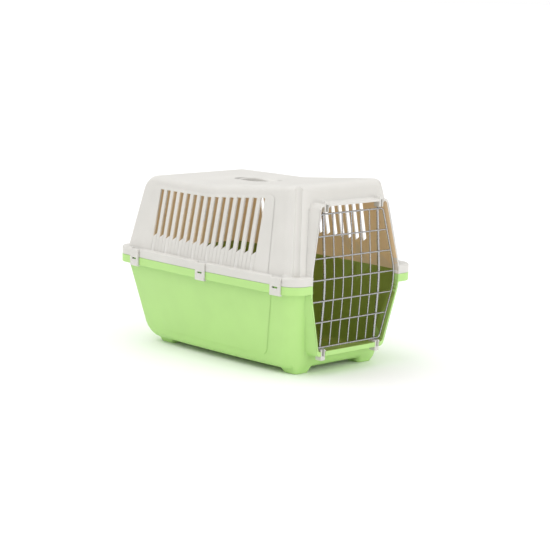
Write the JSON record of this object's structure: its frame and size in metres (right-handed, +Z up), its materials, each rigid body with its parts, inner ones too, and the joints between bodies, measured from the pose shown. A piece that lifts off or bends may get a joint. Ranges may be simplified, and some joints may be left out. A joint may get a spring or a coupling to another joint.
{
  "type": "pet carrier",
  "caption": "Hard plastic pet carrier with a vented upper shell clipped on a tray, a wire door that swings on upright rods and a lift-up handle.",
  "frame": {"origin": "centre of the object's bounding box at the level that the feet stand on", "axes": "+Z up, -Y out through the door, +Y to the rear, +X to the right when looking along +Y"},
  "size_m": [0.3268, 0.48, 0.3319],
  "materials": {
    "cream_plastic": "fine moulded texture, satin",
    "green_plastic": "fine moulded texture, satin",
    "door_wire": "bright plated wire"
  },
  "bodies": {
    "carrier": {"upper_shell": "cream_plastic", "lower_shell": "green_plastic", "keeper_left_upper": "cream_plastic", "keeper_left_lower": "cream_plastic", "keeper_right_upper": "cream_plastic", "keeper_right_lower": "cream_plastic"},
    "door": {"door_frame": "door_wire", "door_cross_1": "door_wire", "door_cross_2": "door_wire", "door_cross_3": "door_wire", "door_cross_4": "door_wire", "door_cross_5": "door_wire", "door_upright_1": "door_wire", "door_upright_2": "door_wire", "door_upright_3": "door_wire", "door_upright_4": "door_wire", "door_upright_5": "door_wire", "door_rod_left": "door_wire", "door_rod_right": "door_wire"},
    "lift_handle": {"handle": "cream_plastic"},
    "clip_left_rear_body": {"clip_left_rear": "cream_plastic"},
    "clip_left_middle_body": {"clip_left_middle": "cream_plastic"},
    "clip_left_front_body": {"clip_left_front": "cream_plastic"},
    "clip_right_rear_body": {"clip_right_rear": "cream_plastic"},
    "clip_right_middle_body": {"clip_right_middle": "cream_plastic"},
    "clip_right_front_body": {"clip_right_front": "cream_plastic"}
  },
  "joints": [
    {"name": "door_hinge", "type": "hinge", "parent": "carrier", "child": "door", "pos_m": [0.0678, -0.22038, 0.1685], "axis": [0, 0, 1], "range_deg": [0, 120]},
    {"name": "handle_slide", "type": "slide", "parent": "carrier", "child": "lift_handle", "axis": [0, 0, 1], "range_m": [0, 0.022]},
    {"name": "clip_left_rear_hinge", "type": "hinge", "parent": "carrier", "child": "clip_left_rear_body", "pos_m": [-0.15206, 0.18134, 0.1767], "axis": [0.0566, 0.9984, 0], "range_deg": [0, 100]},
    {"name": "clip_left_middle_hinge", "type": "hinge", "parent": "carrier", "child": "clip_left_middle_body", "pos_m": [-0.15718, -0.00999, 0.1767], "axis": [-0.0031, 1, 0], "range_deg": [0, 100]},
    {"name": "clip_left_front_hinge", "type": "hinge", "parent": "carrier", "child": "clip_left_front_body", "pos_m": [-0.15108, -0.19783, 0.1767], "axis": [-0.0618, 0.9981, 0], "range_deg": [0, 100]},
    {"name": "clip_right_rear_hinge", "type": "hinge", "parent": "carrier", "child": "clip_right_rear_body", "pos_m": [0.15206, 0.18134, 0.1767], "axis": [0.0566, -0.9984, 0], "range_deg": [0, 100]},
    {"name": "clip_right_middle_hinge", "type": "hinge", "parent": "carrier", "child": "clip_right_middle_body", "pos_m": [0.15718, -0.00999, 0.1767], "axis": [-0.0031, -1, 0], "range_deg": [0, 100]},
    {"name": "clip_right_front_hinge", "type": "hinge", "parent": "carrier", "child": "clip_right_front_body", "pos_m": [0.15108, -0.19783, 0.1767], "axis": [-0.0618, -0.9981, 0], "range_deg": [0, 100]}
  ]
}
